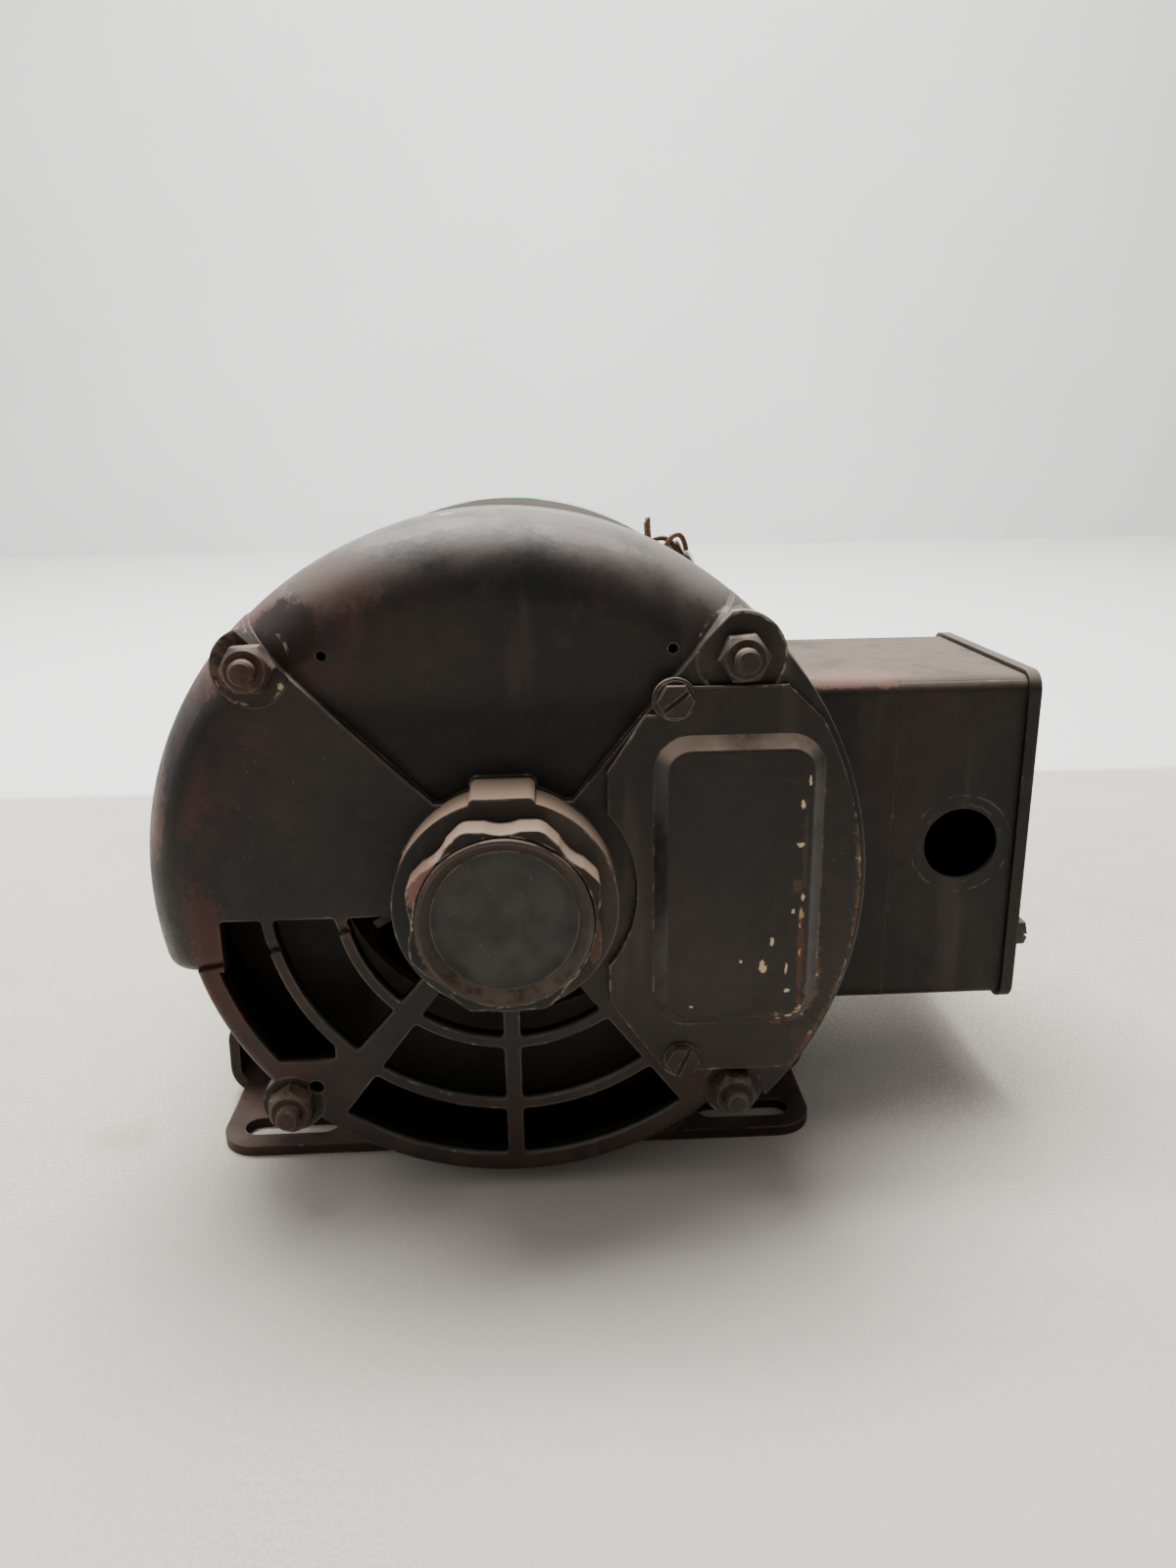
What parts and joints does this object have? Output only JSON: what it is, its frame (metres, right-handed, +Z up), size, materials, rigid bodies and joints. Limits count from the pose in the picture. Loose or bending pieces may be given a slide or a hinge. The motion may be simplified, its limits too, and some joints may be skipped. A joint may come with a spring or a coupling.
{
  "type": "electric motor",
  "caption": "Foot-mounted open drip-proof induction motor with a hooded end bell, side conduit box, access cover and keyed drive shaft.",
  "frame": {"origin": "centre of the four foot slots, on the underside of the feet", "axes": "+Z up from the feet, +Y along the shaft towards the drive end, +X towards the conduit box"},
  "size_m": [0.2552, 0.2675, 0.1839],
  "materials": {
    "bell_paint": "faded charcoal enamel, chipped and dusty",
    "frame_paint": "faded enamel over reddish primer",
    "base_paint": "worn enamel, rusty",
    "cover_paint": "faded charcoal enamel, worn to metal on the edges",
    "box_paint": "dark enamel, dusty on top",
    "collar_metal": "painted, dusty, chipped",
    "cap_dark": "dark, dull",
    "rusty_steel": "zinc plating gone, brown rust",
    "plated_steel": "dull zinc plating",
    "ground_green": "green",
    "gasket_fibre": "grey-brown fibre",
    "shaft_steel": "ground and oiled",
    "core_steel": "varnished laminations",
    "cage_aluminium": "as cast",
    "winding_copper": "varnished copper wire",
    "bearing_steel": "ground and polished",
    "bearing_sheet": "pressed sheet steel",
    "spring_steel": "blued spring steel",
    "cap_iron": "as cast",
    "black_rubber": "matt black",
    "baffle_sheet": "dark enamel",
    "lead_insulation": "black lead wire insulation",
    "wire_nut_plastic": "orange",
    "plate_aluminium": "etched, dull, blank",
    "label_paper": "faded yellow-green sticker, blank"
  },
  "bodies": {
    "frame": {"access_cover": "cover_paint", "access_cover_gasket": "gasket_fibre", "access_cover_screws": "rusty_steel", "base": "base_paint", "bearing_cap_screws": "plated_steel", "conduit_box": "box_paint", "conduit_box_adapter": "box_paint", "conduit_box_cover": "box_paint", "conduit_box_end": "box_paint", "conduit_box_gasket": "gasket_fibre", "conduit_box_screws": "plated_steel", "conduit_cover_screws": "rusty_steel", "frame_shell": "frame_paint", "front_bearing_outer_race": "bearing_steel", "front_bearing_shields": "bearing_sheet", "front_end_bell": "bell_paint", "front_winding": "winding_copper", "ground_screw": "ground_green", "hub_cap": "cap_dark", "hub_collar": "collar_metal", "inner_bearing_cap": "cap_iron", "lead_grommet": "black_rubber", "lead_wires": "lead_insulation", "nameplate": "plate_aluminium", "nameplate_rivets": "plate_aluminium", "rear_baffle": "baffle_sheet", "rear_bearing_outer_race": "bearing_steel", "rear_bearing_shields": "bearing_sheet", "rear_end_bell": "bell_paint", "rear_winding": "winding_copper", "stator_core": "core_steel", "through_bolt_nuts": "rusty_steel", "through_bolts": "rusty_steel", "top_label": "label_paper", "wave_spring": "spring_steel", "wire_nuts": "wire_nut_plastic"},
    "rotor": {"shaft": "shaft_steel", "rotor_core": "core_steel", "rear_cage_ring": "cage_aluminium", "front_cage_ring": "cage_aluminium", "rear_bearing_inner_race": "bearing_steel", "front_bearing_inner_race": "bearing_steel", "bearing_snap_ring": "spring_steel", "shaft_slinger": "black_rubber"},
    "rear_ball_set": {"rear_bearing_balls": "bearing_steel", "rear_bearing_cage": "bearing_sheet"},
    "front_ball_set": {"front_bearing_balls": "bearing_steel", "front_bearing_cage": "bearing_sheet"}
  },
  "joints": [
    {"name": "rotor_spin", "type": "hinge", "parent": "frame", "child": "rotor", "pos_m": [0, 0, 0.0889], "axis": [0, 1, 0], "continuous": true},
    {"name": "rear_ball_spin", "type": "hinge", "parent": "frame", "child": "rear_ball_set", "pos_m": [0, 0, 0.0889], "axis": [0, 1, 0], "continuous": true},
    {"name": "front_ball_spin", "type": "hinge", "parent": "frame", "child": "front_ball_set", "pos_m": [0, 0, 0.0889], "axis": [0, 1, 0], "continuous": true}
  ],
  "couplings": [
    {"joint": "rear_ball_spin", "follows": "rotor_spin", "ratio": 0.38175},
    {"joint": "front_ball_spin", "follows": "rotor_spin", "ratio": 0.39688}
  ]
}
